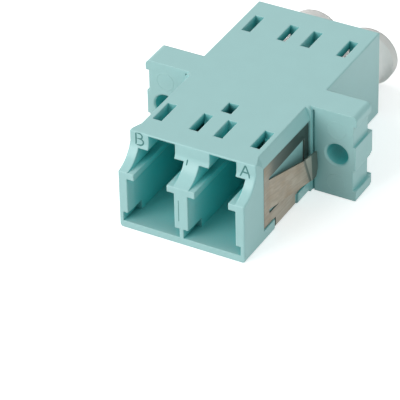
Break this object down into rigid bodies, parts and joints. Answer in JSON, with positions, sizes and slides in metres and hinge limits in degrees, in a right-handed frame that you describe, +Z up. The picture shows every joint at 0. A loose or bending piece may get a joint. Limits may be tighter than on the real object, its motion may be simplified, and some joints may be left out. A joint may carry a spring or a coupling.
{
  "type": "lc fibre adapter",
  "caption": "Duplex fibre-optic coupler with a screw flange, sprung steel side clip, latch windows in its roof, and pull-out dust plugs in its rear ports.",
  "frame": {"origin": "half way between the two screw holes, on the front face of the flange, at the height of the holes", "axes": "+X towards port A, +Y towards the rear ports, +Z up through the roof with the latch windows"},
  "size_m": [0.022, 0.0331, 0.0092],
  "materials": {
    "aqua_plastic": "moulded, fine matt",
    "spring_steel": "rolled stainless strip",
    "zirconia": "ground and polished",
    "milky_polythene": "translucent, soft sheen"
  },
  "bodies": {
    "adapter": {"housing": "aqua_plastic", "panel_clip": "spring_steel", "sleeve_retainer_a": "aqua_plastic", "sleeve_retainer_b": "aqua_plastic", "split_sleeve_a": "zirconia", "split_sleeve_b": "zirconia"},
    "plug_a": {"dust_plug_a": "milky_polythene"},
    "plug_b": {"dust_plug_b": "milky_polythene"}
  },
  "joints": [
    {"name": "plug_a_pull", "type": "slide", "parent": "adapter", "child": "plug_a", "axis": [0, 1, 0], "range_m": [0, 0.013]},
    {"name": "plug_b_pull", "type": "slide", "parent": "adapter", "child": "plug_b", "axis": [0, 1, 0], "range_m": [0, 0.013]}
  ]
}
